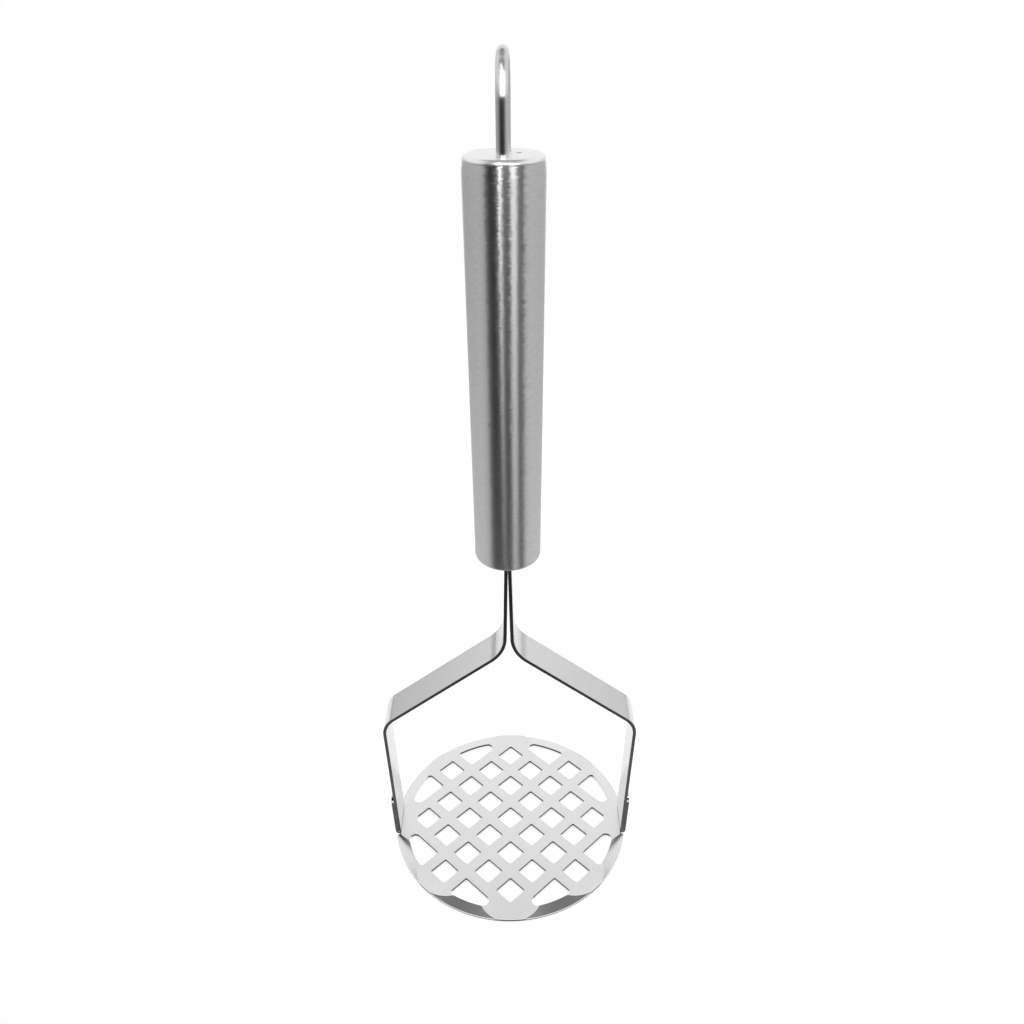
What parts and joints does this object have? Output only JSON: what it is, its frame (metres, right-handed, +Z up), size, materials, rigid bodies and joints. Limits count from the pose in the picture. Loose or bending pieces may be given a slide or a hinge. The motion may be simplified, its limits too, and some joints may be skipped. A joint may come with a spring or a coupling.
{
  "type": "potato masher",
  "caption": "Upright potato masher with a hollow steel handle, a wire hanging loop, and bent strip arms that carry a round pierced plate.",
  "frame": {"origin": "centre of the pierced plate's underside, the face that the masher stands on", "axes": "+Z up along the handle to the hanging loop, +X from the left arm to the right arm, -Y towards the viewer of the picture"},
  "size_m": [0.0866, 0.085, 0.2618],
  "materials": {
    "plate_steel": "satin",
    "strip_steel": "polished",
    "handle_steel": "brushed",
    "cap_steel": "polished",
    "wire_steel": "polished",
    "weld_steel": "as welded"
  },
  "bodies": {
    "root": {"masher_plate": "plate_steel", "left_arm": "strip_steel", "right_arm": "strip_steel", "handle_base": "handle_steel", "handle_tube": "handle_steel", "end_cap": "cap_steel", "hanging_loop": "wire_steel", "tang_weld": "weld_steel", "loop_welds": "weld_steel"}
  },
  "joints": []
}
